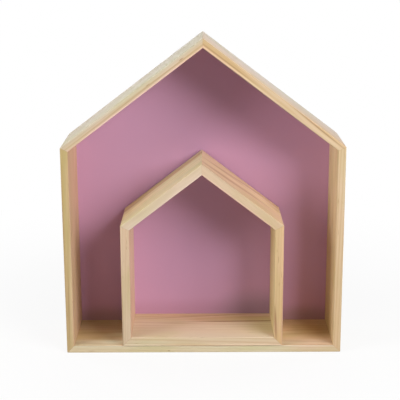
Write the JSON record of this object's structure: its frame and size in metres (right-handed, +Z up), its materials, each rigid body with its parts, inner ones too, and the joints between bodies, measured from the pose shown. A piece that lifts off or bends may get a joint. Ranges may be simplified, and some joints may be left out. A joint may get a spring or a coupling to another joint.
{
  "type": "house-shaped wall shelf",
  "caption": "House-shaped wall shelf: a mitred pine frame with a pink back panel, and a smaller house of the same make that nests inside it and lifts out.",
  "frame": {"origin": "middle of the large house's underside", "axes": "+Z up, +Y towards the wall behind, the open fronts face -Y, +X to the viewer's right"},
  "size_m": [0.35, 0.0983, 0.3997],
  "materials": {
    "pine": "planed and sanded, bare",
    "painted_panel": "thin fibreboard, matt mauve-pink paint on the front",
    "steel": "zinc plated"
  },
  "bodies": {
    "large_house": {"large_floor_board": "pine", "large_left_wall": "pine", "large_right_wall": "pine", "large_left_roof": "pine", "large_right_roof": "pine", "large_back_panel": "painted_panel", "large_corner_brads": "steel", "large_panel_pins": "steel", "large_hanger": "steel", "large_hanger_nails": "steel"},
    "small_house": {"small_floor_board": "pine", "small_left_wall": "pine", "small_right_wall": "pine", "small_left_roof": "pine", "small_right_roof": "pine", "small_back_panel": "painted_panel", "small_corner_brads": "steel", "small_panel_pins": "steel", "small_hanger": "steel", "small_hanger_nails": "steel"}
  },
  "joints": [
    {"name": "small_house_out", "type": "slide", "parent": "large_house", "child": "small_house", "axis": [0, -1, 0], "range_m": [0, 0.12]}
  ]
}
